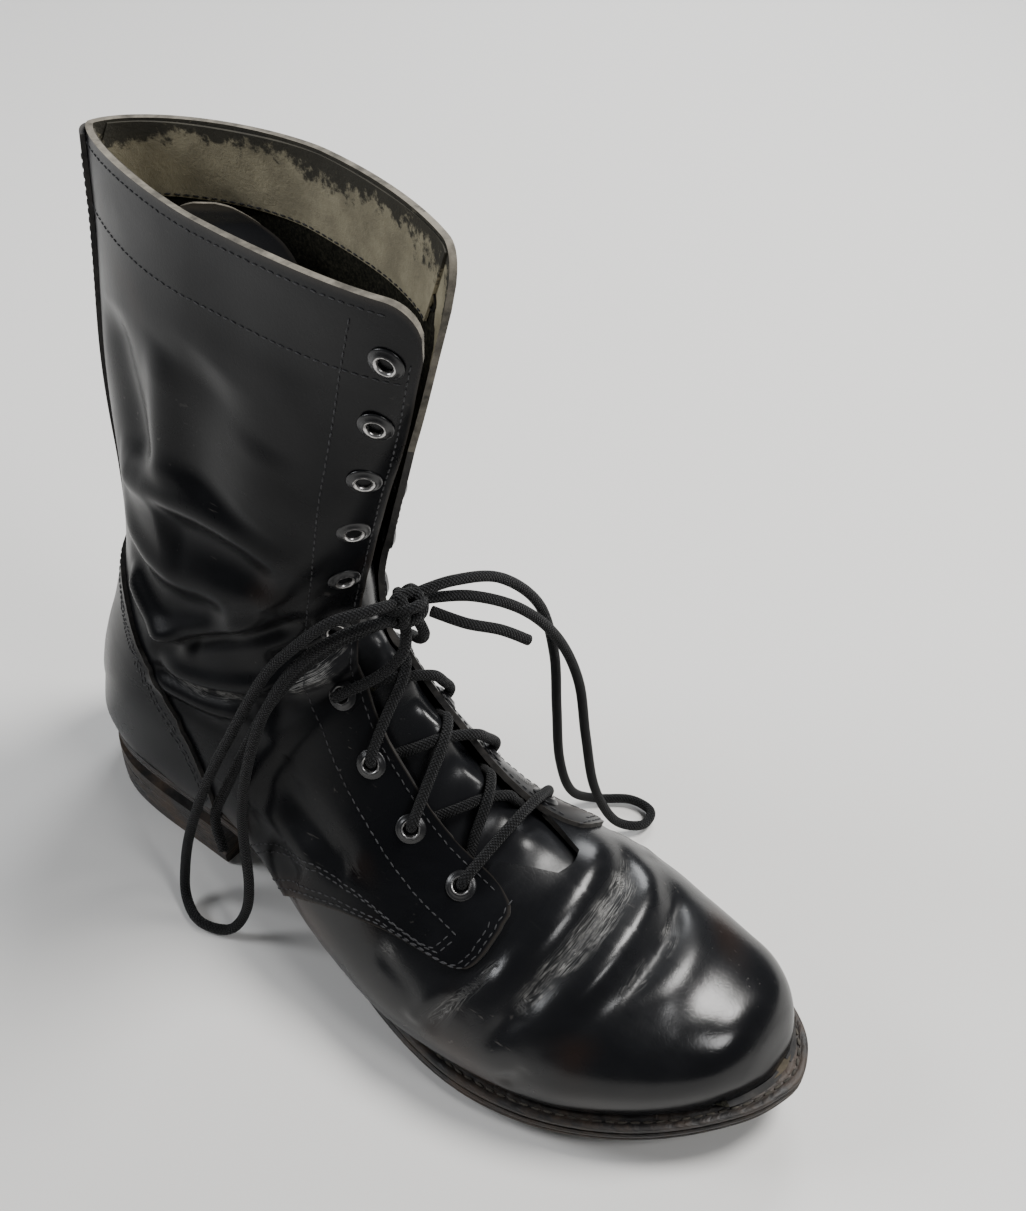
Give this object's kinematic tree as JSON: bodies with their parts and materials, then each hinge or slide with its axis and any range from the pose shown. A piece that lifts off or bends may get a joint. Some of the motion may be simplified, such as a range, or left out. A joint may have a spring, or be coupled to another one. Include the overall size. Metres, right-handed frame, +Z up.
{
  "type": "combat boot",
  "caption": "Worn black leather combat boot for the right foot: plain toe, quarters lapped over the vamp, tall laced shaft on a welted rubber sole with a block heel",
  "frame": {"origin": "On the floor under the middle of the heel block", "axes": "+X from the heel to the toe, +Y to the medial side, +Z up from the floor"},
  "size_m": [0.3097, 0.1563, 0.2771],
  "materials": {
    "leather": "black, polished and worn",
    "sole_rubber": "black rubber, matt",
    "sole_edge": "black edge with brown wear",
    "board": "plain, rough",
    "eyelet": "black enamel, worn to steel at the bore",
    "lace": "black round braid"
  },
  "bodies": {
    "root": {"upper": "leather", "heel_counter": "leather", "backstay": "leather", "tongue": "leather", "heel": "sole_rubber", "outsole": "sole_rubber", "midsole": "sole_edge", "welt": "sole_edge", "insole": "board", "eyelet_lateral_1": "eyelet", "eyelet_lateral_2": "eyelet", "eyelet_lateral_3": "eyelet", "eyelet_lateral_4": "eyelet", "eyelet_lateral_5": "eyelet", "eyelet_lateral_6": "eyelet", "eyelet_lateral_7": "eyelet", "eyelet_lateral_8": "eyelet", "eyelet_lateral_9": "eyelet", "eyelet_lateral_10": "eyelet", "eyelet_medial_1": "eyelet", "eyelet_medial_2": "eyelet", "eyelet_medial_3": "eyelet", "eyelet_medial_4": "eyelet", "eyelet_medial_5": "eyelet", "eyelet_medial_6": "eyelet", "eyelet_medial_7": "eyelet", "eyelet_medial_8": "eyelet", "eyelet_medial_9": "eyelet", "eyelet_medial_10": "eyelet", "lacing": "lace", "lace_knot": "lace", "lace_loop_lateral": "lace", "lace_loop_medial": "lace", "lace_end_lateral": "lace", "lace_end_medial": "lace"}
  },
  "joints": []
}
